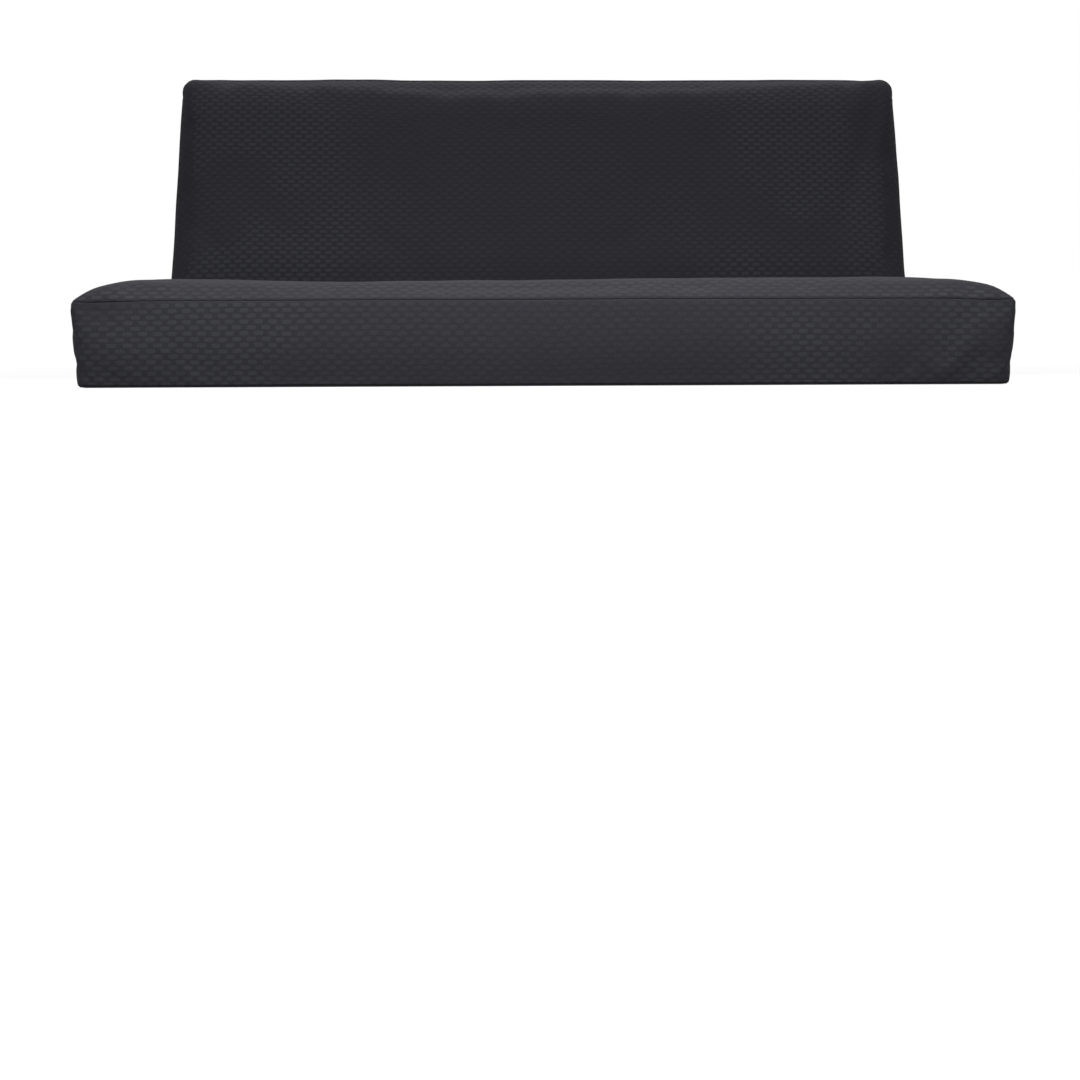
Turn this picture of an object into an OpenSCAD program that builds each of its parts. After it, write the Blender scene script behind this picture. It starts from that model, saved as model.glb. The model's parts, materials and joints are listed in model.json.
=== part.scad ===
// Futon mattress folded once across its middle: a padded seat half and a padded back half.
// Row frame: +X along the length, +Y towards the back, +Z up, origin under the middle of the box.
// Each half is drawn lying flat with the fold at y = 0 and its outer edge at +y, then put in place.

/* [Mattress] */
// Length along the sofa, from end to end
mattress_length = 1905; // [1400:5:2300]
// Width when it is opened flat, from front edge to back edge
flat_width = 1372; // [1100:2:1700]
// Height of the boxing between the edge seams
boxing_height = 174; // [142:1:260]
// Height that the padded face rises above its edge seams
crown_rise = 45; // [10:1:80]
// Distance in from the seams at which the face is at its full height
crown_reach = 170; // [80:5:210]
// Radius of the mattress's four corners, seen from above
corner_radius = 45; // [25:1:60]

/* [Fold] */
// Angle between the seat face and the back face in the sofa position
sofa_angle = 105; // [95:1:150]
// Depth of the fold's axis below the edge seams of the faces
crease_depth = 60; // [30:1:90]
// Clearance that each half leaves at the fold
fold_gap = 0.5; // [0.3:0.1:2]

/* [Cover] */
// Thickness of the cover's cloth with its lining
cover_ply = 2; // [1:0.5:3]
// Room between the cover and the casing on the faces
face_ease = 4; // [3:0.5:8]
// Room between the cover and the casing along the sides
side_ease = 8; // [6:0.5:14]

/* [Filling] */
// Thickness of the inner casing's cloth
ticking_ply = 1.5; // [1:0.5:3]
// Thickness of the cotton batting at the bottom
bottom_batting = 22; // [10:1:30]
// Thickness of the lower foam sheet
lower_foam = 38; // [20:1:46]
// Thickness of the cotton batting between the foam sheets
middle_batting = 24; // [10:1:30]
// Thickness of the upper foam sheet
upper_foam = 38; // [20:1:46]
// Clearance between one layer and the next
layer_gap = 0.3; // [0.2:0.1:1]

/* [Tufts] */
// Number of ties along the length, in each of the two rows of a half
ties_along = 5; // [2:1:8]
// Diameter of the tie's twine
tie_diameter = 3; // [2:0.5:5]
// Diameter of the felt washer at each end of a tie
washer_diameter = 30; // [16:1:45]
// Thickness of the felt washer
washer_thickness = 2.4; // [1:0.2:2.6]
// Clearance around the twine in each hole
tie_clearance = 0.3; // [0.2:0.1:0.6]

/* [Zip] */
// Distance from each end of the mattress to the end of the zip's coils
zip_inset = 100; // [90:5:300]
// Height of the zip's middle line above the rear face
zip_height = 40; // [34:1:70]
// Width of the slot between the boxing and the narrow strip
zip_slot = 20; // [14:1:30]
// Width of each coil
coil_width = 2.6; // [2:0.1:3]
// Thickness of each coil
coil_thickness = 2.2; // [1.6:0.1:2.4]
// Thickness of each tape
tape_ply = 1; // [0.6:0.1:1.2]
// Length of the slider
slider_length = 12; // [10:1:18]
// Length of the pull tab
pull_length = 31; // [20:1:50]

/* [Labels] */
// Width of the casing's blank label
label_width = 100; // [50:5:140]
// Height of the casing's blank label
label_height = 75; // [40:5:90]
// Side of the cover's blank label
care_label_side = 45; // [20:5:60]
// Thickness of the labels
label_ply = 0.8; // [0.4:0.1:1.2]

/* [Hidden] */
far = 4000;
fold_angle = 180 - sofa_angle;
mitre = fold_angle / 2;
half_length = mattress_length / 2;
half_width = flat_width / 2;
hinge_z = boxing_height - crease_depth;
crease_y = fold_gap / cos(mitre) + crease_depth * tan(mitre);
corner_y = half_width - corner_radius;
// The box reaches from the seat's front edge to the top rear edge of the leaning back half.
back_reach = half_width * cos(fold_angle) + hinge_z * sin(fold_angle);
hinge_y = (half_width - back_reach) / 2;

// The casing lies inside the cover, and the layers lie inside the casing.
casing_inset = cover_ply + side_ease;
casing_low = cover_ply + face_ease;
casing_high = boxing_height - cover_ply - face_ease;
fill_inset = casing_inset + ticking_ply + layer_gap;
bottom_batting_z = casing_low + ticking_ply + layer_gap;
lower_foam_z = bottom_batting_z + bottom_batting + layer_gap;
middle_batting_z = lower_foam_z + lower_foam + layer_gap;
upper_foam_z = middle_batting_z + middle_batting + layer_gap;
top_batting_z = upper_foam_z + upper_foam + layer_gap;
top_batting_high = casing_high - ticking_ply - layer_gap;
crown_step = 15;

// The ties stand where the face is at its full height.
tie_inset = fill_inset + crown_reach + washer_diameter / 2 + 5;
tie_spacing = (mattress_length - 2 * tie_inset) / (ties_along - 1);
tie_rows = [crease_y + tie_inset - fill_inset, half_width - tie_inset];
washer_low = casing_low - layer_gap - washer_thickness;
washer_high = casing_high + crown_rise + layer_gap;
tie_length = washer_high + washer_thickness - washer_low;
tie_hole = tie_diameter + 2 * tie_clearance;

// The zip lies in the back half's top boxing, just inside its outer face.
zip_half = half_length - zip_inset;
slot_half = half_length - corner_radius - 15;
tape_y = half_width - cover_ply - 0.2 - tape_ply / 2;
tape_overlap = 8;
coil_gap = 1.2;
slider_play = 0.3;
slider_plate = 1;
slider_width = 2 * coil_width + coil_gap + 2.6;
bridge_width = coil_gap / 2;
stop_length = 3;
slider_x = zip_half - stop_length - 3 - slider_length / 2;
plate_y = tape_y + coil_thickness / 2 + slider_play;
arch_length = 8;
arch_width = 2;
arch_post = 1.2;
pull_ply = 1.2;
pull_width = 8;
pull_arm = 7;
pull_y = half_width + 0.6 + pull_ply / 2;
arch_top = pull_y + pull_ply / 2 + 0.4;
arm_z = arch_width / 2 + 0.4 + pull_ply / 2;

$fn = 32;
fold_facets = 180;
corner_facets = 96;

cover_colour = [0.19, 0.19, 0.21];
ticking_colour = [0.87, 0.84, 0.76];
batting_colour = [0.93, 0.91, 0.86];
foam_colour = [0.92, 0.87, 0.66];
twine_colour = [0.78, 0.72, 0.60];
felt_colour = [0.85, 0.83, 0.80];
tape_colour = [0.10, 0.10, 0.11];
metal_colour = [0.62, 0.62, 0.64];
label_colour = [0.95, 0.95, 0.93];

// ---- placing the two halves ----

module on_seat() {
  translate([0, hinge_y, 0]) mirror([0, 1, 0]) children();
}

module on_back() {
  translate([0, hinge_y, hinge_z]) rotate([fold_angle, 0, 0]) translate([0, 0, -hinge_z]) children();
}

// ---- shapes that both halves share ----

// What a half leaves free at the fold: the end plane, and the mitre above the axis.
module fold_cut() {
  translate([-far, -far, -far]) cube([2 * far, far + fold_gap, 2 * far]);
  translate([0, 0, hinge_z]) rotate([-mitre, 0, 0])
    translate([-far, -far, -far]) cube([2 * far, far + fold_gap, 2 * far]);
}

// Points of the face's rounded rise, from the seam inwards.
function rise(high) =
  [for (t = [0:crown_step:90]) [crown_reach * (1 - cos(t)), high + crown_rise * sin(t)]];

function rise_along(from, way, high) = [for (p = rise(high)) [from + way * p[0], p[1]]];

function reversed(points) = [for (i = [len(points) - 1:-1:0]) points[i]];

// The outline of a half seen from above, with its two outer corners rounded.
module plan(inset) {
  r = corner_radius - inset;
  wide = half_length - inset;
  deep = half_width - inset;
  translate([-wide, 0]) square([2 * wide, deep - r]);
  translate([r - wide, 0]) square([2 * (wide - r), deep]);
  for (side = [-1, 1]) {
    translate([side * (wide - r), deep - r]) circle(r = r, $fn = corner_facets);
  }
}

// One rounded corner of a padded face, turned about the middle of its radius.
module crowned_corner(r, low, high) {
  edge = [for (p = rise(high)) if (p[0] < r) [r - p[0], p[1]]];
  rotate_extrude(angle = 90, $fn = corner_facets)
    polygon(concat([[0, low], [r, low]], edge, [[0, lookup(r, rise(high))]]));
}

// A block from low up to a padded face, whose seams are at the height high.
module crowned(inset, low, high) {
  r = corner_radius - inset;
  end_x = half_length - inset;
  outer_y = half_width - inset;
  along_x = concat([[-end_x, low]], rise_along(-end_x, 1, high),
    reversed(rise_along(end_x, -1, high)), [[end_x, low]]);
  along_y = concat([[0, low], [0, high]], rise_along(crease_y, 1, high),
    reversed(rise_along(outer_y, -1, high)), [[outer_y, low]]);
  difference() {
    intersection() {
      translate([0, outer_y, 0]) rotate([90, 0, 0]) linear_extrude(outer_y) polygon(along_x);
      translate([-end_x, 0, 0]) rotate([90, 0, 90]) linear_extrude(2 * end_x) polygon(along_y);
    }
    for (side = [-1, 1]) {
      translate([side * end_x - r, outer_y - r, low - 1]) cube([2 * r, 2 * r, high + crown_rise - low + 2]);
    }
  }
  translate([end_x - r, outer_y - r, 0]) crowned_corner(r, low, high);
  mirror([1, 0, 0]) translate([end_x - r, outer_y - r, 0]) crowned_corner(r, low, high);
}

// The cloth of a padded face.
module crowned_sheet(inset, high, ply) {
  difference() {
    crowned(inset, high - ply, high);
    translate([0, 0, -ply]) crowned(inset, 0, high);
    fold_cut();
  }
}

// A flat layer between two heights.
module slab(inset, low, thickness) {
  difference() {
    translate([0, 0, low]) linear_extrude(thickness) plan(inset);
    fold_cut();
  }
}

// An upright wall along the outline, open at the fold.
module wall(inset, ply, low, high) {
  translate([0, 0, low]) linear_extrude(high - low) difference() {
    plan(inset);
    plan(inset + ply);
  }
}

module at_ties() {
  for (row = tie_rows) {
    for (i = [0:ties_along - 1]) {
      translate([tie_inset - half_length + i * tie_spacing, row, 0]) children();
    }
  }
}

module tie_holes() {
  at_ties() translate([0, 0, -far / 2]) cylinder(d = tie_hole, h = far);
}

// ---- the pieces of a half ----

module cover_face() {
  color(cover_colour) crowned_sheet(0, boxing_height, cover_ply);
}

module cover_underside() {
  color(cover_colour) slab(0, 0, cover_ply);
}

// The boxing along the outer edge and round both corners.
module long_boxing() {
  difference() {
    wall(0, cover_ply, cover_ply, boxing_height - cover_ply);
    translate([-far, -far, -far]) cube([2 * far, far + corner_y, 2 * far]);
  }
}

// The straight boxing at one end: side is -1 on the left and 1 on the right.
module end_boxing(side) {
  color(cover_colour) difference() {
    translate([side * (half_length - cover_ply / 2) - cover_ply / 2, 0, cover_ply])
      cube([cover_ply, corner_y, boxing_height - 2 * cover_ply]);
    fold_cut();
  }
}

// What the zip's slot and narrow strip take out of the boxing, to a height above the rear face.
module zip_room(low, high) {
  translate([-slot_half, half_width - 2 * cover_ply, low])
    cube([2 * slot_half, 3 * cover_ply, high - low]);
}

module ticking_top() {
  color(ticking_colour) difference() {
    crowned_sheet(casing_inset, casing_high, ticking_ply);
    tie_holes();
  }
}

module ticking_bottom() {
  color(ticking_colour) difference() {
    slab(casing_inset, casing_low, ticking_ply);
    tie_holes();
  }
}

module ticking_border() {
  border_low = casing_low + ticking_ply;
  color(ticking_colour) difference() {
    wall(casing_inset, ticking_ply, border_low, casing_high - ticking_ply);
    fold_cut();
  }
}

module tied_layer(colour, low, thickness) {
  color(colour) difference() {
    slab(fill_inset, low, thickness);
    tie_holes();
  }
}

module top_layer() {
  color(batting_colour) difference() {
    crowned(fill_inset, top_batting_z, top_batting_high);
    fold_cut();
    tie_holes();
  }
}

module ties() {
  color(twine_colour) at_ties() translate([0, 0, washer_low]) cylinder(d = tie_diameter, h = tie_length);
}

module washer() {
  difference() {
    cylinder(d = washer_diameter, h = washer_thickness);
    translate([0, 0, -1]) cylinder(d = tie_hole, h = washer_thickness + 2);
  }
}

module washers() {
  color(felt_colour) at_ties() {
    translate([0, 0, washer_low]) washer();
    translate([0, 0, washer_high]) washer();
  }
}

// ---- the seat half ----

module cover_face_seat() { on_seat() cover_face(); }
module cover_underside_seat() { on_seat() cover_underside(); }
module front_boxing() { color(cover_colour) on_seat() long_boxing(); }
module seat_boxing_left() { on_seat() end_boxing(-1); }
module seat_boxing_right() { on_seat() end_boxing(1); }
module ticking_top_seat() { on_seat() ticking_top(); }
module ticking_bottom_seat() { on_seat() ticking_bottom(); }
module ticking_border_seat() { on_seat() ticking_border(); }
module top_batting_seat() { on_seat() top_layer(); }
module upper_foam_seat() { on_seat() tied_layer(foam_colour, upper_foam_z, upper_foam); }
module middle_batting_seat() { on_seat() tied_layer(batting_colour, middle_batting_z, middle_batting); }
module lower_foam_seat() { on_seat() tied_layer(foam_colour, lower_foam_z, lower_foam); }
module bottom_batting_seat() { on_seat() tied_layer(batting_colour, bottom_batting_z, bottom_batting); }
module tuft_ties_seat() { on_seat() ties(); }
module tuft_washers_seat() { on_seat() washers(); }

// ---- the fold: the outside of the bend, between the two halves ----

// A ring sector about the fold's axis, from one end plane to the other, between two x values.
module fold_sector(inner, outer, from_x, to_x) {
  fan = [for (a = [0:fold_angle / 2:fold_angle]) [far * sin(a), -far * cos(a)]];
  translate([from_x, hinge_y, hinge_z]) rotate([90, 0, 90]) linear_extrude(to_x - from_x)
    intersection() {
      difference() {
        circle(r = outer, $fn = fold_facets);
        circle(r = inner, $fn = fold_facets);
      }
      polygon(concat([[0, 0]], fan));
    }
}

axis_relief = 3;
casing_radius = hinge_z - casing_low;
casing_end = half_length - casing_inset;

module cover_fold() {
  color(cover_colour) fold_sector(hinge_z - cover_ply, hinge_z, -half_length, half_length);
}

module fold_boxing_left() {
  color(cover_colour) fold_sector(axis_relief, hinge_z - cover_ply, -half_length, cover_ply - half_length);
}

module fold_boxing_right() {
  color(cover_colour) fold_sector(axis_relief, hinge_z - cover_ply, half_length - cover_ply, half_length);
}

module ticking_fold() {
  color(ticking_colour) union() {
    fold_sector(casing_radius - ticking_ply, casing_radius, -casing_end, casing_end);
    fold_sector(axis_relief, casing_radius, -casing_end, ticking_ply - casing_end);
    fold_sector(axis_relief, casing_radius, casing_end - ticking_ply, casing_end);
  }
}

module fold_filling() {
  fill_end = half_length - fill_inset;
  color(batting_colour)
    fold_sector(axis_relief, casing_radius - ticking_ply - layer_gap, -fill_end, fill_end);
}

// ---- the back half ----

module cover_face_back() { on_back() cover_face(); }
module cover_underside_back() { on_back() cover_underside(); }
module back_boxing_left() { on_back() end_boxing(-1); }
module back_boxing_right() { on_back() end_boxing(1); }

module top_boxing() {
  color(cover_colour) on_back() difference() {
    long_boxing();
    zip_room(0, zip_height + zip_slot / 2);
  }
}

module zip_strip() {
  color(cover_colour) on_back() intersection() {
    long_boxing();
    zip_room(0, zip_height - zip_slot / 2);
  }
}

module ticking_top_back() { on_back() ticking_top(); }
module ticking_bottom_back() { on_back() ticking_bottom(); }
module ticking_border_back() { on_back() ticking_border(); }
module top_batting_back() { on_back() top_layer(); }
module upper_foam_back() { on_back() tied_layer(foam_colour, upper_foam_z, upper_foam); }
module middle_batting_back() { on_back() tied_layer(batting_colour, middle_batting_z, middle_batting); }
module lower_foam_back() { on_back() tied_layer(foam_colour, lower_foam_z, lower_foam); }
module bottom_batting_back() { on_back() tied_layer(batting_colour, bottom_batting_z, bottom_batting); }
module tuft_ties_back() { on_back() ties(); }
module tuft_washers_back() { on_back() washers(); }

// ---- the zip along the top boxing ----

// A bar centred at x and at y, on one side of the zip's middle line, from inner to outer off it.
module zip_bar(x, length, y, thickness, side, inner, outer) {
  translate([x - length / 2, y - thickness / 2, zip_height + (side < 0 ? -outer : inner)])
    cube([length, thickness, outer - inner]);
}

module zip_tapes() {
  color(tape_colour) on_back() for (side = [-1, 1]) {
    zip_bar(0, 2 * (slot_half + tape_overlap), tape_y, tape_ply, side,
      coil_gap / 2 + coil_width, zip_slot / 2 + tape_overlap);
  }
}

module zip_coils() {
  color(tape_colour) on_back() for (side = [-1, 1]) {
    zip_bar(0, 2 * (zip_half - stop_length), tape_y, coil_thickness, side,
      coil_gap / 2, coil_gap / 2 + coil_width);
  }
}

// A pair of stops where the zip is closed, and one box across both coils where it opens.
module zip_stops() {
  stop_x = zip_half - stop_length / 2;
  color(metal_colour) on_back() {
    for (side = [-1, 1]) {
      zip_bar(stop_x, stop_length, tape_y, coil_thickness + 0.6, side,
        coil_gap / 2, coil_gap / 2 + coil_width);
    }
    translate([-zip_half, tape_y - coil_thickness / 2 - 0.3, zip_height - coil_gap / 2 - coil_width])
      cube([stop_length, coil_thickness + 0.6, coil_gap + 2 * coil_width]);
  }
}

module zip_slider() {
  plate = [slider_length, slider_plate, slider_width];
  gap = coil_thickness + 2 * slider_play;
  color(metal_colour) on_back() translate([slider_x, 0, zip_height]) {
    translate([-slider_length / 2, plate_y, -slider_width / 2]) cube(plate);
    translate([-slider_length / 2, plate_y - gap - slider_plate, -slider_width / 2]) cube(plate);
    translate([slider_length / 6, plate_y - gap - 0.2, -bridge_width / 2])
      cube([slider_length / 4, gap + 0.4, bridge_width]);
    difference() {
      translate([-arch_length / 2, plate_y + slider_plate / 2, -arch_width / 2])
        cube([arch_length, arch_top + 1 - plate_y - slider_plate / 2, arch_width]);
      translate([arch_post - arch_length / 2, plate_y + slider_plate, -arch_width])
        cube([arch_length - 2 * arch_post, arch_top - plate_y - slider_plate, 2 * arch_width]);
    }
  }
}

module zip_pull() {
  tab_length = pull_length - pull_arm - pull_width / 2;
  color(metal_colour) on_back() translate([slider_x, pull_y, zip_height]) {
    translate([0, 0, -arm_z - pull_ply / 2]) cylinder(d = pull_ply, h = 2 * arm_z + pull_ply);
    for (side = [-1, 1]) {
      translate([-pull_arm - 1, -pull_ply / 2, side * arm_z - pull_ply / 2])
        cube([pull_arm + 1, pull_ply, pull_ply]);
    }
    translate([-pull_arm - tab_length, -pull_ply / 2, -pull_width / 2])
      cube([tab_length, pull_ply, pull_width]);
    translate([-pull_arm - tab_length, pull_ply / 2, 0]) rotate([90, 0, 0])
      cylinder(d = pull_width, h = pull_ply);
  }
}

// ---- blank labels inside the cover ----

module law_label() {
  color(label_colour) on_back()
    translate([label_width, half_width - casing_inset + layer_gap, 1.2 * zip_height])
      cube([label_width, label_ply, label_height]);
}

module care_label() {
  color(label_colour) on_back()
    translate([cover_ply + layer_gap - half_length, half_width - 3 * care_label_side, hinge_z / 2])
      cube([label_ply, care_label_side, care_label_side]);
}

cover_face_seat();
cover_underside_seat();
front_boxing();
seat_boxing_left();
seat_boxing_right();
ticking_top_seat();
ticking_bottom_seat();
ticking_border_seat();
top_batting_seat();
upper_foam_seat();
middle_batting_seat();
lower_foam_seat();
bottom_batting_seat();
tuft_ties_seat();
tuft_washers_seat();
cover_fold();
fold_boxing_left();
fold_boxing_right();
ticking_fold();
fold_filling();
cover_face_back();
cover_underside_back();
top_boxing();
zip_strip();
back_boxing_left();
back_boxing_right();
ticking_top_back();
ticking_bottom_back();
ticking_border_back();
top_batting_back();
upper_foam_back();
middle_batting_back();
lower_foam_back();
bottom_batting_back();
tuft_ties_back();
tuft_washers_back();
zip_tapes();
zip_coils();
zip_stops();
law_label();
care_label();
zip_slider();
zip_pull();
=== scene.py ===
import json
import math

import bmesh
import bpy
import numpy as np
from mathutils import Matrix, Vector, noise
from mathutils.bvhtree import BVHTree


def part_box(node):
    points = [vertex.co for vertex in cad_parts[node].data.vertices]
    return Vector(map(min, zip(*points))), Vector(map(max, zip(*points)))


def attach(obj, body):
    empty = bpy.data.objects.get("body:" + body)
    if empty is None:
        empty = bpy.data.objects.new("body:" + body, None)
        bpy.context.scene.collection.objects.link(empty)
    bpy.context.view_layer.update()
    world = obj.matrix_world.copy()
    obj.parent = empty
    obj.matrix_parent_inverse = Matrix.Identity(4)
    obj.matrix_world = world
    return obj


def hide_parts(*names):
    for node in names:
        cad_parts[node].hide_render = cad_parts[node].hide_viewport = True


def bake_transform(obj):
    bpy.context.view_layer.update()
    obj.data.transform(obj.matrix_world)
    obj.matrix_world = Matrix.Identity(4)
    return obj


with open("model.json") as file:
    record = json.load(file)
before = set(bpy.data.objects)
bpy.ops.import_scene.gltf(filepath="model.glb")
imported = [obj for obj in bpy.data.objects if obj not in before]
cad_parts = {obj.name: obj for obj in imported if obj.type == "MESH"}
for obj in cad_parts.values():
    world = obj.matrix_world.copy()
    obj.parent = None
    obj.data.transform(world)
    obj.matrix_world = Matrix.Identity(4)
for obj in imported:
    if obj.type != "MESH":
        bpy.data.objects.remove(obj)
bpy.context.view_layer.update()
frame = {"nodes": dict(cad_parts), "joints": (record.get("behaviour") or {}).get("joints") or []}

foldJoint = next(j for j in frame["joints"] if j["name"] == "back_fold")
hinge = Vector(foldJoint["pos_m"])
foldAngle = math.radians(foldJoint["range_deg"][1])
mitre = foldAngle / 2
inward = Vector((0, -math.sin(mitre), math.cos(mitre)))  # from the fold's axis to the crease
across = Vector((0, math.cos(mitre), math.sin(mitre)))  # from the seat side to the back side
toBackFrame = Matrix.Translation(hinge) @ Matrix.Rotation(foldAngle, 4, "X") @ Matrix.Translation(-hinge)

# The mattress's own sizes, all read from the frame.
undersideLow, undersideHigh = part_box("cover_underside_seat")
mattress = {
    "halfLength": undersideHigh.x,
    "halfWidth": hinge.y - undersideLow.y,
    "height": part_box("front_boxing")[1].z + undersideHigh.z,
    "faceTop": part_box("cover_face_seat")[1].z,
}

# What a user would change about the pad's shape, in metres.
pad = {
    "cutsX": 107,
    "cutsY": 79,
    "cutsZ": 9,
    "foldShare": 0.1,  # share of the cuts across that go round the outside of the bend
    "fullness": -0.004,  # how far the face stands over the flat-cut height
    "seatReach": (0.165, 0.125),  # how far the rounding runs in from the front edge and from the ends
    "backReach": (0.13, 0.115),
    "reachBlend": 0.15,  # how far from the crease the back's own rounding takes over
    "endFloor": 0.50,  # share of the fullness kept at the very ends of the crease
    "endFade": 0.05,
    "creaseReach": 0.12,
    "creaseRise": 0.017,
    "creaseWidth": 0.008,
    "cornerRadius": 0.045,
    # share of the height, radius and ear of the seat's front corners
    "seatCorner": ((0.0, 0.030, 0.006), (0.5, 0.036, 0.012), (1.0, 0.018, 0.011)),
    "earReach": 0.07,
    "earForward": 0.3,
    "seamLift": 0.002,
    "seamRound": 0.012,
    "frontBulge": 0.011,
    "endBulge": 0.008,
    "topBulge": 0.012,
    "topRoll": 0.035,  # how fast the top boxing swells behind its seam
    "calmEnd": 0.12,  # the bulges of the long boxings fade out over this length at the ends
    "calmEdge": 0.10,
    "flatBoxing": 0.056,  # the top boxing stays flat up to here, for the zip
    "flatFade": 0.05,
    "hollows": ((-0.36, 0.22, 0.006), (0.06, 0.26, 0.003)),  # place, reach and depth of sat-in hollows
    "waves": ((0.30, 0.0028), (0.085, 0.0011)),  # size and depth of the padding's unevenness
    "waveSeed": (7.3, 1.1, 4.2),
    "waveFade": 0.04,
}


def backBox(nodeName):
    # a node's lowest and highest corners with the back half laid flat
    toFlat = toBackFrame.inverted()
    points = [toFlat @ v.co for v in frame["nodes"][nodeName].data.vertices]
    return (Vector(min(p[i] for p in points) for i in range(3)),
            Vector(max(p[i] for p in points) for i in range(3)))


tapeLow, tapeHigh = backBox("zip_tapes")
coilLow, coilHigh = backBox("zip_coils")
zipper = {
    "middle": (tapeLow.z + tapeHigh.z) / 2,
    "overlap": 0.008,  # how far each tape reaches under the cover
    "toothPitch": 0.0022,
    "toothRadius": 0.00078,
    "toothTaper": 0.85,
    "toothSwell": 1.25,
    "toothSides": 7,
    "toothStart": 0.6,  # place of the first tooth from the coil's end, in pitches
    "toothPast": 0.0006,  # how far the teeth of each side reach past the middle
    "cordWide": 0.0026,
    "cordThick": 0.0005,
    "cordGap": 0.0001,
    "stitch": 0.0030,
    "stitchGap": 0.0012,
    "stitchAway": 0.004,
    "stitchLift": 0.0001,
    "stitchHigh": 0.0004,
    "stitchWide": 0.00038,
}
slot = {
    "halfLength": coilHigh.x + 0.007,
    "low": tapeLow.z + zipper["overlap"],
    "high": tapeHigh.z - zipper["overlap"],
    "near": 1e-4,
    "nearFace": 0.004,
}

seatBody, backBody = "seat_section", "back_section"
panelNames = ["face", "underside", "front", "top", "left", "right"]


def smooth(t):
    t = min(max(t, 0.0), 1.0)
    return t * t * (3 - 2 * t)


def roundRise(distance, reach):
    t = min(max(distance / reach, 0.0), 1.0)
    return math.sqrt(1 - (1 - t) ** 2)


def crownAt(x, edge, crease, onBack=False):
    # height of the padded face over its seams, from its distance to the ends, the edge and the crease
    full = mattress["faceTop"] - mattress["height"] + pad["fullness"]
    edgeReach, endReach = pad["backReach"] if onBack else pad["seatReach"]
    fromSeat = smooth(crease / pad["reachBlend"])
    endReach = pad["seatReach"][1] + (endReach - pad["seatReach"][1]) * fromSeat
    ends = roundRise(mattress["halfLength"] - abs(x), endReach)
    ends = max(ends, pad["endFloor"] * math.exp(-((crease / pad["endFade"]) ** 2)))
    outer = roundRise(edge, edgeReach)
    nearCrease = math.sin(math.pi / 2 * min(crease / pad["creaseReach"], 1.0))
    base = pad["creaseRise"] / full
    nearCrease = base + (1 - base) * nearCrease
    hollow = sum(depth * math.exp(-((x - place) / reach) ** 2) for place, reach, depth in pad["hollows"])
    short = ((1 - ends * outer) ** 3 + (1 - nearCrease) ** 3) ** (1 / 3)
    return full * max(1 - short, 0.0) - hollow * smooth(edge / pad["calmEdge"]) * nearCrease * ends


def cornerAt(up, onBack):
    if onBack:
        return pad["cornerRadius"], 0.0
    shares, radii, ears = zip(*pad["seatCorner"])
    return float(np.interp(up, shares, radii)), float(np.interp(up, shares, ears))


onRim = 0.9999  # past this share, a point lies on the outside of the cut block


def cornerShift(x, y, radius):
    # a square corner of the plan drawn in to a rounded one
    a = (abs(x) - (mattress["halfLength"] - radius)) / radius
    b = (y - (mattress["halfWidth"] - radius)) / radius
    if a <= 0 or b <= 0:
        return x, y
    newA = a * math.sqrt(1 - b * b / 2)
    newB = b * math.sqrt(1 - a * a / 2)
    return math.copysign(abs(x) + (newA - a) * radius, x), y + (newB - b) * radius


def placePoint(a, b, c):
    # a, b and c run from -1 to 1 along the length, across the fold and through the height
    height, half = mattress["height"], mattress["halfWidth"]
    x = a * mattress["halfLength"]
    up = (c + 1) / 2
    onBack = b > 0
    fold = pad["foldShare"]
    t = abs(b)
    seam = pad["seamLift"]
    z = seam + (height - seam) * up
    above = max(z - hinge.z, 0.0)
    startY = above * math.tan(mitre) + pad["creaseWidth"] * smooth(above / (height - hinge.z))
    run = max((t - fold) / (1 - fold), 0.0)
    y = startY + (half - startY) * run
    onTop, onBottom = c > onRim, c < -onRim
    if onBottom:
        edge = min(half - y, mattress["halfLength"] - abs(x))
        z = seam * (1 - smooth(edge / pad["seamRound"]))
    if t < fold:
        turn = mitre * b / fold
        out = -inward * math.cos(turn) + across * math.sin(turn)
        if z < hinge.z:
            return hinge + out * (hinge.z - z) + Vector((x, 0, 0))
        wide = across * (b / fold * pad["creaseWidth"] * smooth(above / (height - hinge.z)))
        rise = crownAt(x, half, 0.0) if onTop else 0.0
        return hinge + inward * (above / math.cos(mitre) + rise) + wide + Vector((x, 0, 0))
    if onTop:
        z = height + crownAt(x, half - y, y - startY, onBack)
    radius, ear = cornerAt(min(z / height, 1.0), onBack)
    toEnd = mattress["halfLength"] - abs(x)
    toEdge = half - y
    x, y = cornerShift(x, y, radius)
    swell = math.sin(math.pi * up)
    calm = smooth(toEnd / pad["calmEnd"])
    if t > onRim:
        if onBack:
            aboveZip = smooth((z - pad["flatBoxing"]) / pad["flatFade"])
            swell = roundRise(height - z, pad["topRoll"]) * aboveZip if z < height else 0.0
        y += (pad["topBulge"] if onBack else pad["frontBulge"]) * swell * calm
    if abs(a) > onRim:
        swell = math.sin(math.pi * up) * smooth(toEdge / pad["calmEdge"])
        x += math.copysign(pad["endBulge"] * swell, a)
    toEar = math.exp(-((toEdge / pad["earReach"]) ** 2)) * smooth(1 - toEnd / pad["calmEnd"])
    x += math.copysign(ear * toEar, a)
    y += pad["earForward"] * ear * toEar
    point = Vector((x, hinge.y + y, z)) if onBack else Vector((x, hinge.y - y, z))
    return toBackFrame @ point if onBack else point


def cutAlong(bm, axis, cuts):
    edges = [e for e in bm.edges if abs((e.verts[0].co - e.verts[1].co).normalized()[axis]) > 0.9]
    bmesh.ops.subdivide_edges(bm, edges=edges, cuts=cuts, use_grid_fill=True)


def clothLength(points):
    return np.concatenate([[0.0], np.cumsum([(q - p).length for p, q in zip(points, points[1:])])])


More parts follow.
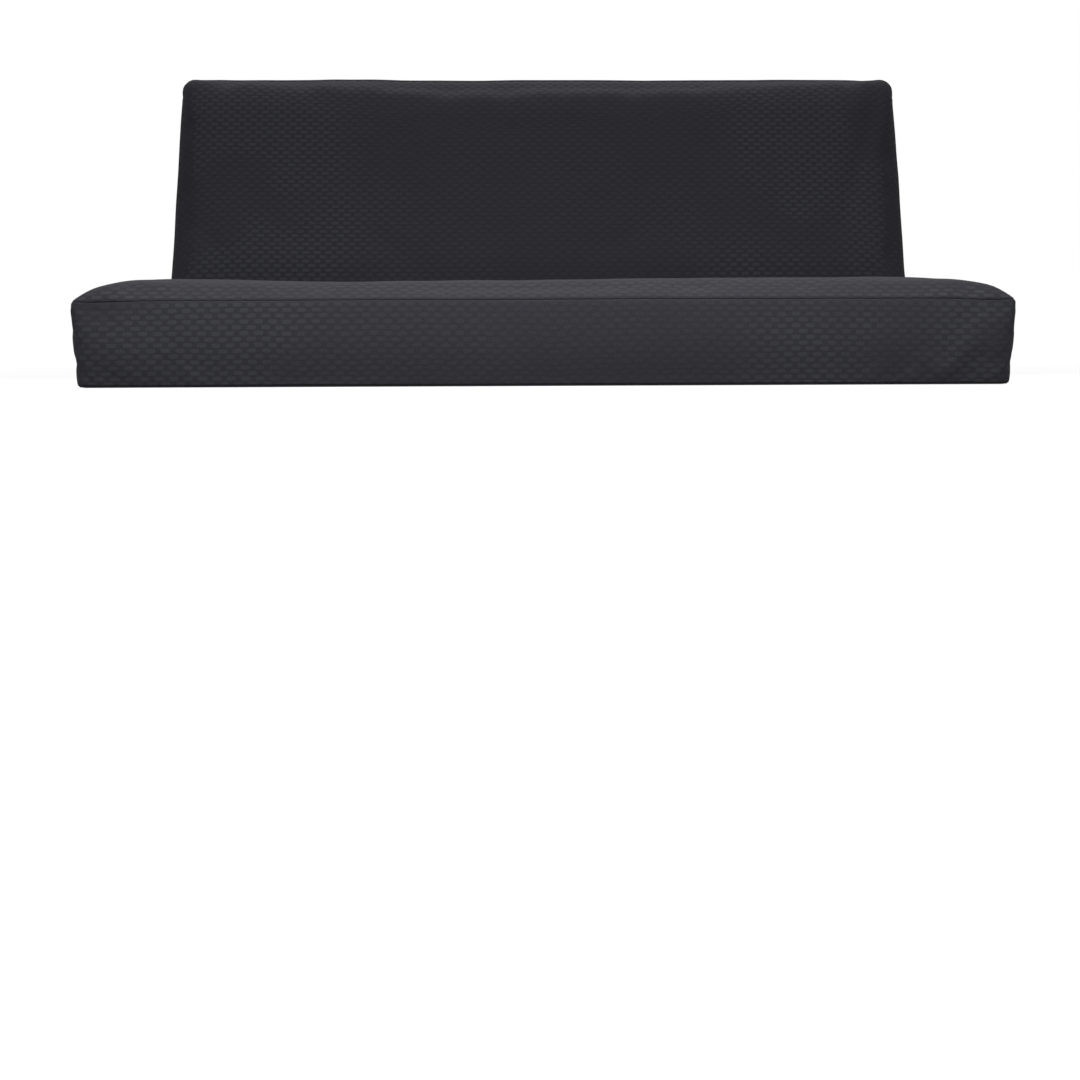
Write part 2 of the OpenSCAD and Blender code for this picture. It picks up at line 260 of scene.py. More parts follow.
def makePad():
    bm = bmesh.new()
    bmesh.ops.create_cube(bm, size=2.0)
    for axis, cuts in enumerate((pad["cutsX"], pad["cutsY"], pad["cutsZ"])):
        cutAlong(bm, axis, cuts)
    bm.normal_update()
    panelOf = bm.faces.layers.int.new("panel")
    squareCorner = 1 - pad["cornerRadius"] / mattress["halfWidth"]
    for face in bm.faces:
        n, centre = face.normal, face.calc_center_median()
        if n.z > 0.5:
            panel = "face"
        elif n.z < -0.5:
            panel = "underside"
        elif n.y < -0.5 or (abs(n.x) > 0.5 and centre.y < -squareCorner):
            panel = "front"
        elif n.y > 0.5 or (abs(n.x) > 0.5 and centre.y > squareCorner):
            panel = "top"
        else:
            panel = "left" if n.x < 0 else "right"
        face[panelOf] = panelNames.index(panel)
    # The cloth's own lengths across the fold, on the face and on the underside.
    steps = [-1 + 2 * i / (pad["cutsY"] + 1) for i in range(pad["cutsY"] + 2)]
    faceRun = clothLength([placePoint(0, b, 1) for b in steps])
    rearRun = clothLength([placePoint(0, b, -1) for b in steps])
    uvLayer = bm.loops.layers.uv.new("cloth")
    for face in bm.faces:
        panel = panelNames[face[panelOf]]
        for loop in face.loops:
            p = loop.vert.co
            x = p.x * mattress["halfLength"]
            z = (p.z + 1) / 2 * mattress["height"]
            if panel in ("face", "underside"):
                run = faceRun if panel == "face" else rearRun
                v = np.interp(p.y, steps, run - run[len(run) // 2])
                uv = (x, v)
            elif panel in ("front", "top") and abs(face.normal.y) > 0.5:
                uv = (x, z)
            elif panel in ("front", "top"):
                corner = (1 - abs(p.y)) * mattress["halfWidth"]
                uv = (math.copysign(mattress["halfLength"] + corner, p.x), z)
            else:
                uv = (np.interp(p.y, steps, rearRun), z)
            loop[uvLayer].uv = uv
    params = [v.co.copy() for v in bm.verts]
    for vert in bm.verts:
        vert.co = placePoint(*vert.co)
    bm.normal_update()
    offset = Vector(pad["waveSeed"])
    for p, vert in zip(params, bm.verts):
        if p.z < -onRim:
            continue
        aboveZip = ((p.z + 1) / 2 * mattress["height"] - pad["flatBoxing"]) / pad["waveFade"]
        calm = smooth(aboveZip) if p.y > onRim else 1.0
        wave = sum(deep * noise.noise(vert.co / size + offset) for size, deep in pad["waves"])
        vert.co += vert.normal * calm * wave
    return bm, params


print("pad form")
padMesh, padParams = makePad()

padding = {
    "pressure": 2.4,
    "spareCloth": 0.022,  # share by which each panel is cut larger than its seams
    "frames": 18,
    "capOut": 0.012,
    "capIn": 0.003,
    "capSide": 0.006,
    "quickLift": 0.010,
    "stiffness": 22.0,
    "bending": 0.6,
    "mass": 0.25,
    "damping": 3.0,
    "hold": 4.0,
    "quality": 6,
}


def isSeam(edge, panelOf):
    return len({f[panelOf] for f in edge.link_faces}) > 1


def fillPad():
    # the closed cover is blown up by its padding, with the seams holding its edges short
    mesh = bpy.data.meshes.new("pad_filling")
    padMesh.to_mesh(mesh)
    shell = bpy.data.objects.new("pad_filling", mesh)
    bpy.context.scene.collection.objects.link(shell)
    panelOf = padMesh.faces.layers.int["panel"]
    seamVerts = {v.index for e in padMesh.edges if isSeam(e, panelOf) for v in e.verts}
    underside = panelNames.index("underside")
    held = {v.index for f in padMesh.faces if f[panelOf] == underside for v in f.verts}
    flatShare = 2 * pad["flatBoxing"] / mattress["height"] - 1
    held |= {i for i, p in enumerate(padParams) if p.y > onRim and p.z < flatShare}
    holdGroup = shell.vertex_groups.new(name="held")
    holdGroup.add(sorted(held), 1.0, "REPLACE")
    seamGroup = shell.vertex_groups.new(name="seams")
    seamGroup.add(sorted(seamVerts | held), 1.0, "REPLACE")
    cloth = shell.modifiers.new("filling", "CLOTH")
    settings = cloth.settings
    settings.quality = padding["quality"]
    settings.mass = padding["mass"]
    settings.air_damping = padding["damping"]
    settings.tension_stiffness = padding["stiffness"]
    settings.compression_stiffness = padding["stiffness"]
    settings.shear_stiffness = padding["stiffness"] / 3
    settings.bending_stiffness = padding["bending"]
    settings.use_pressure = True
    settings.uniform_pressure_force = padding["pressure"]
    settings.vertex_group_mass = "held"
    settings.pin_stiffness = padding["hold"]
    settings.vertex_group_shrink = "seams"
    settings.shrink_min = -padding["spareCloth"]
    settings.shrink_max = 0.0
    settings.effector_weights.gravity = 0
    cloth.collision_settings.use_collision = False
    cloth.collision_settings.use_self_collision = False
    cloth.point_cache.frame_start = 1
    cloth.point_cache.frame_end = padding["frames"] + 1
    scene = bpy.context.scene
    for frameNumber in range(1, padding["frames"] + 1):
        scene.frame_set(frameNumber)
    filled = shell.evaluated_get(bpy.context.evaluated_depsgraph_get())
    points = [v.co.copy() for v in filled.data.vertices]
    scene.frame_set(1)
    bpy.data.objects.remove(shell)
    return points


def settlePad():
    points = fillPad()
    normals = [v.normal.copy() for v in padMesh.verts]
    for point, n, vert in zip(points, normals, padMesh.verts):
        move = point - vert.co
        along = move.dot(n)
        side = move - n * along
        if side.length > padding["capSide"]:
            side *= padding["capSide"] / side.length
        vert.co += n * min(max(along, -padding["capIn"]), padding["capOut"]) + side
    padMesh.normal_update()


print("filling the pad")
settlePad()

# Broad soft folds pressed into the faces: ends on the flat cover, depth and width.
softFolds = (
    ((0.90, 0.60), (0.78, 0.22), 0.0050, 0.030),
    ((-0.93, 0.33), (-0.80, 0.10), 0.0030, 0.026),
    ((0.10, 0.10), (0.28, 0.22), 0.0025, 0.030),
    ((-0.30, 0.09), (-0.42, 0.19), 0.0025, 0.030),
    ((0.55, -0.08), (0.47, -0.22), 0.0025, 0.030),
    ((-0.58, -0.08), (-0.50, -0.24), 0.0030, 0.030),
    ((0.90, -0.45), (0.74, -0.60), 0.0022, 0.028),
    ((-0.91, -0.40), (-0.78, -0.58), 0.0022, 0.028),
)
foldEnds = (0.15, 0.70)  # where on a half wave a fold starts, and how much of it the fold takes


def foldDepth(u, v):
    depth = 0.0
    at = Vector((u, v))
    for first, last, deep, wide in softFolds:
        a, b = Vector(first), Vector(last)
        t = min(max((at - a).dot(b - a) / (b - a).length_squared, 0.0), 1.0)
        away = (at - a.lerp(b, t)).length
        depth += deep * math.exp(-((away / wide) ** 2)) * math.sin(math.pi * (foldEnds[0] + foldEnds[1] * t))
    return depth


def pressFolds():
    panelOf = padMesh.faces.layers.int["panel"]
    uvLayer = padMesh.loops.layers.uv["cloth"]
    face = panelNames.index("face")
    moves = {}
    for f in padMesh.faces:
        if f[panelOf] != face:
            continue
        for loop in f.loops:
            if any(g[panelOf] != face for g in loop.vert.link_faces):
                continue
            moves[loop.vert] = foldDepth(*loop[uvLayer].uv)
    for vert, depth in moves.items():
        vert.co -= vert.normal * depth
    padMesh.normal_update()


pressFolds()

casing = {
    "seat": ("ticking_top_seat", "ticking_border_seat"),
    "back": ("ticking_top_back", "ticking_border_back"),
    "clearance": 0.0028,
    "reach": 0.015,  # how far out the casing is looked for
    "spread": 4,  # rounds in which a lift is shared with the cloth around it
    "share": 0.7,
}


def casingTree(names):
    places, triangles = [], []
    for name in names:
        mesh = bpy.data.objects[name].data
        mesh.calc_loop_triangles()
        triangles.extend([len(places) + i for i in t.vertices] for t in mesh.loop_triangles)
        places.extend(v.co.copy() for v in mesh.vertices)
    return BVHTree.FromPolygons(places, triangles)


def clearCasing():
    # the cover lies over the casing of its own half everywhere, also where it was drawn in
    seatTree, backTree = casingTree(casing["seat"]), casingTree(casing["back"])
    panelOf = padMesh.faces.layers.int["panel"]
    flat = [panelNames.index("underside"), panelNames.index("top")]
    padMesh.normal_update()
    lifts = {}
    for vert in padMesh.verts:
        if any(f[panelOf] in flat for f in vert.link_faces):
            continue
        shell = seatTree if (vert.co - hinge).dot(across) < 0 else backTree
        out = shell.ray_cast(vert.co, vert.normal, casing["reach"])[3]
        under = shell.ray_cast(vert.co, -vert.normal, casing["clearance"])[3]
        if out is not None:
            lifts[vert] = out + casing["clearance"]
        else:
            lifts[vert] = 0.0 if under is None else casing["clearance"] - under
    for _ in range(casing["spread"]):
        shared = {}
        for vert, lift in lifts.items():
            around = [lifts.get(e.other_vert(vert), 0.0) for e in vert.link_edges]
            shared[vert] = max(lift, casing["share"] * sum(around) / len(around))
        lifts = shared
    for vert, n, lift in [(v, v.normal.copy(), lift) for v, lift in lifts.items()]:
        vert.co += n * lift
    padMesh.normal_update()


print("clearing the casing")
clearCasing()


def linkPiece(name, mesh):
    piece = bpy.data.objects.new(name, mesh)
    bpy.context.scene.collection.objects.link(piece)
    return piece


def cutSlot(bm):
    # the opening for the zip, between the boxing and the narrow strip behind it
    turn = toBackFrame.to_3x3()
    cuts = [((0, 0, slot["low"]), (0, 0, 1)), ((0, 0, slot["high"]), (0, 0, 1)),
            ((-slot["halfLength"], 0, 0), (1, 0, 0)), ((slot["halfLength"], 0, 0), (1, 0, 0))]
    for place, normal in cuts:
        bmesh.ops.bisect_plane(bm, geom=bm.verts[:] + bm.edges[:] + bm.faces[:], dist=1e-5,
                               plane_co=toBackFrame @ Vector(place), plane_no=turn @ Vector(normal))
    toFlat = toBackFrame.inverted()
    inSlot = []
    for face in bm.faces:
        centre = toFlat @ face.calc_center_median()
        if abs(centre.x) < slot["halfLength"] and slot["low"] < centre.z < slot["high"]:
            inSlot.append(face)
    bmesh.ops.delete(bm, geom=inSlot, context="FACES")


def atSlot(point):
    flat = toBackFrame.inverted() @ point
    return (abs(flat.x) < slot["halfLength"] + slot["near"]
            and abs(flat.y - mattress["halfWidth"]) < slot["nearFace"]
            and slot["low"] - slot["near"] < flat.z < slot["high"] + slot["near"])


pucker = {
    "places": ((-1, 0.0016), (1, 0.0009)),  # end of the seat, depth
    "pitch": 0.0135,
    "width": 0.050,
    "below": 0.020,
    "height": 0.020,
    "inset": 0.015,
    "slant": 1.5,
    "frontOnly": 0.09,
}


def puckerDepth(point):
    # short level creases under the top corners of the seat's front
    if point.y > hinge.y - mattress["halfWidth"] + pucker["frontOnly"]:
        return 0.0
    depth = 0.0
    for side, deep in pucker["places"]:
        far = (point.x - side * (mattress["halfLength"] - pucker["inset"])) / pucker["width"]
        down = mattress["height"] - point.z
        fade = math.exp(-(far ** 2) - ((down - pucker["below"]) / pucker["height"]) ** 2)
        depth += deep * fade * math.cos(math.tau * down / pucker["pitch"] + pucker["slant"] * far)
    return depth


# How the cloth goes in at a seam and round the opening for the zip, in metres.
seamFold = {
    "lip": 0.0045,
    "sink": 0.0032,
    "tuck": 0.006,
    "slotSink": 0.0004,
    "slotTuck": 0.0006,
}


def panelMesh(name, panel):
    # one panel of the cover, with its edges turned in at the seams
    bm = padMesh.copy()
    # the seam attribute marks the turned-in edges, which the cover material darkens with painted shade
    seamOf = bm.verts.layers.float.new("seam")
    panelOf = bm.faces.layers.int["panel"]
    others = [f for f in bm.faces if panelNames[f[panelOf]] != panel]
    bmesh.ops.delete(bm, geom=others, context="FACES")
    if panel in ("front", "left", "right"):
        bmesh.ops.subdivide_edges(bm, edges=bm.edges[:], cuts=1, use_grid_fill=True)
    if panel == "front":
        bm.normal_update()
        for vert, n in [(v, v.normal.copy()) for v in bm.verts if not v.is_boundary]:
            vert.co += n * puckerDepth(vert.co)
    if panel == "top":
        cutSlot(bm)
    bm.normal_update()
    bmesh.ops.inset_region(bm, faces=bm.faces[:], thickness=seamFold["lip"], use_boundary=True,
                           use_even_offset=True, use_interpolate=True)
    rim = [e for e in bm.edges if e.is_boundary]
    bm.normal_update()
    rimNormals = {v: v.normal.copy() for e in rim for v in e.verts}
    slotRim = {v for v in rimNormals if panel == "top" and atSlot(v.co)}
    for vert, n in rimNormals.items():
        vert.co -= n * (seamFold["slotSink"] if vert in slotRim else seamFold["sink"])
        vert[seamOf] = 0.0 if vert in slotRim else 1.0
    grown = bmesh.ops.extrude_edge_only(bm, edges=rim)["geom"]
    for vert in [g for g in grown if isinstance(g, bmesh.types.BMVert)]:
        beside = [e.other_vert(vert) for e in vert.link_edges]
        twin = next((v for v in beside if v in rimNormals), None)
        if twin is not None:
            vert.co -= rimNormals[twin] * (seamFold["slotTuck"] if twin in slotRim else seamFold["tuck"])
            vert[seamOf] = twin[seamOf]
    for face in bm.faces:
        face.smooth = True
    mesh = bpy.data.meshes.new(name)
    bm.to_mesh(mesh)
    bm.free()
    return mesh


def addSubdivision(piece, levels):
    subdivision = piece.modifiers.new("subdivision", "SUBSURF")
    subdivision.levels = levels
    subdivision.render_levels = levels


def addThickness(piece, thickness):
    solid = piece.modifiers.new("thickness", "SOLIDIFY")
    solid.thickness = thickness
    solid.offset = -1


def newGroup(name, inputs, outputs):
    group = bpy.data.node_groups.new(name, "ShaderNodeTree")
    for socketName, kind, value in inputs:
        socket = group.interface.new_socket(socketName, in_out="INPUT", socket_type=kind)
        if value is not None:
            socket.default_value = value
    for socketName, kind in outputs:
        group.interface.new_socket(socketName, in_out="OUTPUT", socket_type=kind)
    return group, group.nodes.new("NodeGroupInput"), group.nodes.new("NodeGroupOutput")


def mathNode(tree, operation, first, second=None, third=None):
    node = tree.nodes.new("ShaderNodeMath")
    node.operation = operation
    for index, value in enumerate((first, second, third)):
        if value is None:
            continue
        if isinstance(value, (int, float)):
            node.inputs[index].default_value = value
        else:
            tree.links.new(value, node.inputs[index])
    return node.outputs[0]


def rangeNode(tree, value, low, high, toLow, toHigh):
    node = tree.nodes.new("ShaderNodeMapRange")
    node.interpolation_type = "SMOOTHSTEP"
    tree.links.new(value, node.inputs["Value"])
    for name, number in (("From Min", low), ("From Max", high), ("To Min", toLow), ("To Max", toHigh)):
        node.inputs[name].default_value = number
    return node.outputs["Result"]


# The weave, in metres, and the brick's half sizes as shares of its cell.
weaveSize = {
    "pitch": 0.029,
    "row": 0.0113,
    "yarn": 0.0011,
    "halfWide": 0.315,
    "wideCurve": 5.0,
    "halfTall": 0.37,
    "tallCurve": 3.0,
    "edge": (0.35, 1.45),
}


def buildBrickGroup():
    # rounded bricks in a running bond, and the yarns that they are woven from
    group, given, put = newGroup(
        "brickWeave",
        [("Vector", "NodeSocketVector", None), ("Pitch", "NodeSocketFloat", weaveSize["pitch"]),
         ("Row", "NodeSocketFloat", weaveSize["row"]), ("Yarn", "NodeSocketFloat", weaveSize["yarn"])],
        [("Brick", "NodeSocketFloat"), ("Yarns", "NodeSocketFloat")])

    def calculate(*values):
        return mathNode(group, *values)

    def fromCentre(cells, half, curve):
        away = calculate("ABSOLUTE", calculate("SUBTRACT", calculate("FRACT", cells), 0.5))
        return calculate("POWER", calculate("DIVIDE", away, half), curve)

    def yarnWave(distance):
        turns = calculate("DIVIDE", distance, given.outputs["Yarn"])
        return calculate("SINE", calculate("MULTIPLY", turns, math.tau))

    split = group.nodes.new("ShaderNodeSeparateXYZ")
    group.links.new(given.outputs["Vector"], split.inputs[0])
    u, v = split.outputs["X"], split.outputs["Y"]
    rows = calculate("DIVIDE", v, given.outputs["Row"])
    odd = calculate("FLOORED_MODULO", calculate("FLOOR", rows), 2.0)
    along = calculate("MULTIPLY_ADD", odd, 0.5, calculate("DIVIDE", u, given.outputs["Pitch"]))
    wide = fromCentre(along, weaveSize["halfWide"], weaveSize["wideCurve"])
    tall = fromCentre(rows, weaveSize["halfTall"], weaveSize["tallCurve"])
    brick = rangeNode(group, calculate("ADD", wide, tall), *weaveSize["edge"], 1.0, 0.0)
    yarns = calculate("MULTIPLY_ADD", calculate("MULTIPLY", yarnWave(v), yarnWave(u)), 0.5, 0.5)
    group.links.new(brick, put.inputs["Brick"])
    group.links.new(yarns, put.inputs["Yarns"])
    return group


brickWeave = buildBrickGroup()

# Pairs of a scale and a detail set a noise. Four numbers are a range and what it becomes.
coverCloth = {
    "ground": (0.0205, 0.0203, 0.0268),
    "brick": (0.0325, 0.0338, 0.0395),
    "worn": (0.0410, 0.0412, 0.0475),
    # colour of the painted shade in the seam folds
    "seam": (0.0065, 0.0065, 0.0085),
    "roughness": 0.82,
    "brickRoughness": 0.62,
    "bump": 0.35,
    "relief": 0.0012,
    "yarnRelief": 0.25,
    "brickRelief": 0.7,
    "sheen": 0.04,
    "sheenRoughness": 0.5,
    "specular": 0.10,
    "wander": (260, 2),
    "wanderReach": 0.0018,
    "fuzz": (420, 3),
    "fuzzRange": (0.3, 0.7, 0.0, 0.50),
    "cloud": (3.2, 2),
    "cloudRange": (0.38, 0.60, 0.22, 1.05),
    "facing": 0.35,
    "facingRange": (0.14, 0.42, 1.0, -0.75),
    # the brick contrast by distance from the middle, a painted sheen
    "middleSheenRange": (0.25, 0.78, 0.30, 1.65),
    "seamShadeRange": (0.2, 0.9, 0.0, 0.85),
}


def colourMix(tree, factor, first, second):
    node = tree.nodes.new("ShaderNodeMix")
    node.data_type = "RGBA"
    for socket, value in ((node.inputs["Factor"], factor), (node.inputs[6], first), (node.inputs[7], second)):
        if hasattr(value, "default_value") or hasattr(value, "links"):
            tree.links.new(value, socket)
        elif isinstance(value, (int, float)):
            socket.default_value = value
        else:
            socket.default_value = (*value, 1)
    return node.outputs[2]


def newMaterial(name):
    material = bpy.data.materials.new(name)
    material.use_nodes = True
    return material, material.node_tree, material.node_tree.nodes["Principled BSDF"]


def noiseNode(tree, vector, scale, detail):
    texture = tree.nodes.new("ShaderNodeTexNoise")
    texture.inputs["Scale"].default_value = scale
    texture.inputs["Detail"].default_value = detail
    tree.links.new(vector, texture.inputs["Vector"])
    return texture


def addBump(tree, shader, height, strength, distance):
    bump = tree.nodes.new("ShaderNodeBump")
    bump.inputs["Strength"].default_value = strength
    bump.inputs["Distance"].default_value = distance
    tree.links.new(height, bump.inputs["Height"])
    tree.links.new(bump.outputs["Normal"], shader.inputs["Normal"])


def makeCoverMaterial():
    material, tree, shader = newMaterial("charcoal jacquard")
    coordinates = tree.nodes.new("ShaderNodeUVMap")
    coordinates.uv_map = "cloth"
    onCloth = coordinates.outputs[0]
    # The yarns wander a little, so no two bricks have quite the same edge.
    wander = noiseNode(tree, onCloth, *coverCloth["wander"])
    wandered = tree.nodes.new("ShaderNodeVectorMath")
    wandered.operation = "MULTIPLY_ADD"
    wandered.inputs[1].default_value = (coverCloth["wanderReach"], coverCloth["wanderReach"], 0.0)
    tree.links.new(wander.outputs["Color"], wandered.inputs[0])
    tree.links.new(onCloth, wandered.inputs[2])
    weave = tree.nodes.new("ShaderNodeGroup")
    weave.node_tree = brickWeave
    tree.links.new(wandered.outputs[0], weave.inputs["Vector"])
    brick = weave.outputs["Brick"]
    # The bricks catch the light face on and sink back where the cloth turns away.
    facing = tree.nodes.new("ShaderNodeLayerWeight")
    facing.inputs["Blend"].default_value = coverCloth["facing"]
    turned = rangeNode(tree, facing.outputs["Facing"], *coverCloth["facingRange"])
    strength = mathNode(tree, "MULTIPLY", brick, turned)
    cloud = noiseNode(tree, onCloth, *coverCloth["cloud"])
    clouded = rangeNode(tree, cloud.outputs["Fac"], *coverCloth["cloudRange"])
    strength = mathNode(tree, "MULTIPLY", strength, clouded)
    # Painted sheen: the bricks stand out less in the middle than towards the ends, set by place along the
    # length.
    place = tree.nodes.new("ShaderNodeTexCoord")
    along = tree.nodes.new("ShaderNodeSeparateXYZ")
    tree.links.new(place.outputs["Object"], along.inputs[0])
    fromMiddle = mathNode(tree, "ABSOLUTE", along.outputs["X"])
    strength = mathNode(tree, "MULTIPLY", strength, rangeNode(tree, fromMiddle, *coverCloth["middleSheenRange"]))
    base = colourMix(tree, strength, coverCloth["ground"], coverCloth["brick"])
    fuzz = noiseNode(tree, onCloth, *coverCloth["fuzz"])
    grain = rangeNode(tree, fuzz.outputs["Fac"], *coverCloth["fuzzRange"])
    base = colourMix(tree, grain, base, coverCloth["worn"])
    # Painted shade: the colour darkens along the turned-in seam edges, where the fold lies in its own shade.
    seam = tree.nodes.new("ShaderNodeAttribute")
    seam.attribute_name = "seam"
    seamShade = rangeNode(tree, seam.outputs["Fac"], *coverCloth["seamShadeRange"])
    base = colourMix(tree, seamShade, base, coverCloth["seam"])
    tree.links.new(base, shader.inputs["Base Color"])
    rough = mathNode(tree, "MULTIPLY_ADD", brick, coverCloth["brickRoughness"] - coverCloth["roughness"],
                     coverCloth["roughness"])
    tree.links.new(rough, shader.inputs["Roughness"])
    raised = mathNode(tree, "MULTIPLY", brick, coverCloth["brickRelief"])
    height = mathNode(tree, "MULTIPLY_ADD", weave.outputs["Yarns"], coverCloth["yarnRelief"], raised)
    addBump(tree, shader, height, coverCloth["bump"], coverCloth["relief"])
    shader.inputs["Sheen Weight"].default_value = coverCloth["sheen"]
    shader.inputs["Sheen Roughness"].default_value = coverCloth["sheenRoughness"]
    shader.inputs["Specular IOR Level"].default_value = coverCloth["specular"]
    return material


coverMaterial = makeCoverMaterial()

print("cover panels")
plyThickness = 0.0012
clothAcross = 2 * mattress["halfWidth"]
clothAlong = 2 * mattress["halfLength"]
panels = {
    "cover_face": {
        "panel": "face", "flat": (clothAlong, clothAcross), "body": None, "levels": 1,
        "on": ["ticking_top_seat", "ticking_top_back"],
        "replaces": ["cover_face_seat", "cover_face_back"],
    },
    "cover_underside": {
        "panel": "underside", "flat": (clothAlong, clothAcross), "body": None, "levels": 0,
        "on": ["ticking_bottom_seat", "ticking_fold", "ticking_bottom_back"],
        "replaces": ["cover_underside_seat", "cover_fold", "cover_underside_back"],
    },
    "front_boxing": {
        "panel": "front", "flat": (clothAlong, mattress["height"]), "body": seatBody, "levels": 1,
        "on": ["ticking_border_seat"],
        "replaces": ["front_boxing"],
    },
    "top_boxing": {
        "panel": "top", "flat": (clothAlong, mattress["height"]), "body": backBody, "levels": 1,
        "on": ["ticking_border_back"],
        "replaces": ["top_boxing", "zip_strip"],
    },
}
for end in ("left", "right"):
    panels["end_boxing_" + end] = {
        "panel": end, "flat": (mattress["height"], clothAcross), "body": None, "levels": 1,
        "on": ["ticking_border_seat", "ticking_border_back"],
        "replaces": [part + "_boxing_" + end for part in ("seat", "fold", "back")],
    }
for name, p in panels.items():
    piece = linkPiece("cloth_" + name, panelMesh(name, p["panel"]))
    piece.data.materials.append(coverMaterial)
    if p["levels"]:
        addSubdivision(piece, p["levels"])
    addThickness(piece, plyThickness)
    if p["body"]:
        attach(piece, p["body"])
    else:
        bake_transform(piece)
    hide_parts(*p["replaces"])

print("zip")


def toothRow(bm, side, shift):
    turn = toBackFrame @ Matrix.Translation(Vector((0, (coilLow.y + coilHigh.y) / 2, 0)))
    outer = (coilHigh.z - coilLow.z) / 2
    reach = outer + zipper["toothPast"]
    count = int((coilHigh.x - coilLow.x) / zipper["toothPitch"]) - 1
    for i in range(count):
        x = coilLow.x + (i + zipper["toothStart"] + shift) * zipper["toothPitch"]
        lay = Matrix.Translation(Vector((x, 0, zipper["middle"] + side * (outer - reach / 2))))
        swell = Matrix.Diagonal((1.0, zipper["toothSwell"], 1.0, 1.0))
        bmesh.ops.create_cone(bm, cap_ends=True, segments=zipper["toothSides"], depth=reach,
                              radius1=zipper["toothRadius"], matrix=turn @ lay @ swell,
                              radius2=zipper["toothRadius"] * zipper["toothTaper"])


bm = bmesh.new()
toothRow(bm, 1, 0.0)
toothRow(bm, -1, 0.5)
# The corded tape edges under the teeth meet in the middle.
for side in (1, -1):
    cord = Matrix.Diagonal((2 * coilHigh.x, zipper["cordThick"], zipper["cordWide"], 1.0))
    z = zipper["middle"] + side * (zipper["cordWide"] + zipper["cordGap"]) / 2
    at = Matrix.Translation(Vector((0, coilLow.y + zipper["cordThick"] / 2, z)))
    bmesh.ops.create_cube(bm, size=1.0, matrix=toBackFrame @ at @ cord)
toothMesh = bpy.data.meshes.new("zip_teeth")
bm.to_mesh(toothMesh)
bm.free()
teeth = linkPiece("zip_teeth", toothMesh)
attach(teeth, backBody)
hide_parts("zip_coils")

# Topstitching on both sides of the slot, sunk half its depth into the cloth.
bm = bmesh.new()
stitchStep = zipper["stitch"] + zipper["stitchGap"]
stitchCount = int(2 * slot["halfLength"] / stitchStep)
stitchShape = Matrix.Diagonal((zipper["stitch"] / 2, zipper["stitchHigh"], zipper["stitchWide"], 1))
for z in (slot["low"] - zipper["stitchAway"], slot["high"] + zipper["stitchAway"]):
    for i in range(stitchCount):
        x = -slot["halfLength"] + (i + 0.5) * stitchStep
        at = Matrix.Translation(Vector((x, mattress["halfWidth"] + zipper["stitchLift"], z)))
        bmesh.ops.create_icosphere(bm, subdivisions=1, radius=1.0,
                                   matrix=toBackFrame @ at @ stitchShape)
for face in bm.faces:
    face.smooth = True
stitchMesh = bpy.data.meshes.new("zip_topstitching")
bm.to_mesh(stitchMesh)
bm.free()
stitching = linkPiece("zip_topstitching", stitchMesh)
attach(stitching, backBody)


print("inner materials")


def buildFibreGroup():
    # soft fluff or pores, from fine noise over slow clouds
    group, given, put = newGroup(
        "fibre", [("Vector", "NodeSocketVector", None), ("Fine", "NodeSocketFloat", 300.0),
                  ("Slow", "NodeSocketFloat", 12.0)],
        [("Fine", "NodeSocketFloat"), ("Slow", "NodeSocketFloat")])
    for name, detail in (("Fine", 4), ("Slow", 2)):
        texture = group.nodes.new("ShaderNodeTexNoise")
        texture.inputs["Detail"].default_value = detail
        group.links.new(given.outputs["Vector"], texture.inputs["Vector"])
        group.links.new(given.outputs[name], texture.inputs["Scale"])
        group.links.new(texture.outputs["Fac"], put.inputs[name])
    return group


def buildTwillGroup():
    # a diagonal weave on object coordinates, the same on every side
    group, given, put = newGroup(
        "twill", [("Vector", "NodeSocketVector", None), ("Count", "NodeSocketFloat", 900.0)],
        [("Yarn", "NodeSocketFloat")])
    split = group.nodes.new("ShaderNodeSeparateXYZ")
    group.links.new(given.outputs["Vector"], split.inputs[0])
    total = mathNode(group, "ADD", split.outputs["X"], split.outputs["Y"])
    total = mathNode(group, "ADD", total, split.outputs["Z"])
    wave = mathNode(group, "SINE", mathNode(group, "MULTIPLY", total, given.outputs["Count"]))
    cross = mathNode(group, "SINE", mathNode(group, "MULTIPLY", split.outputs["X"], given.outputs["Count"]))
    both = mathNode(group, "MULTIPLY_ADD", mathNode(group, "MULTIPLY", wave, cross), 0.5, 0.5)
    group.links.new(both, put.inputs["Yarn"])
    return group


fibre = buildFibreGroup()
twill = buildTwillGroup()


def placeGroup(tree, group, vector, **values):
    node = tree.nodes.new("ShaderNodeGroup")
    node.node_tree = group
    tree.links.new(vector, node.inputs["Vector"])
    for name, value in values.items():
        node.inputs[name].default_value = value
    return node


# How the grain and the weave of an inner material share its colour, relief and roughness.
softLook = {
    "fineShare": 0.6,
    "weaveShare": 0.35,
    "fluffRelief": 0.4,
    "colourRange": (0.3, 0.7, 0.0, 1.0),
    "roughRange": (0.2, 0.8),
    "roughSpread": 0.06,
    "specular": 0.25,
}


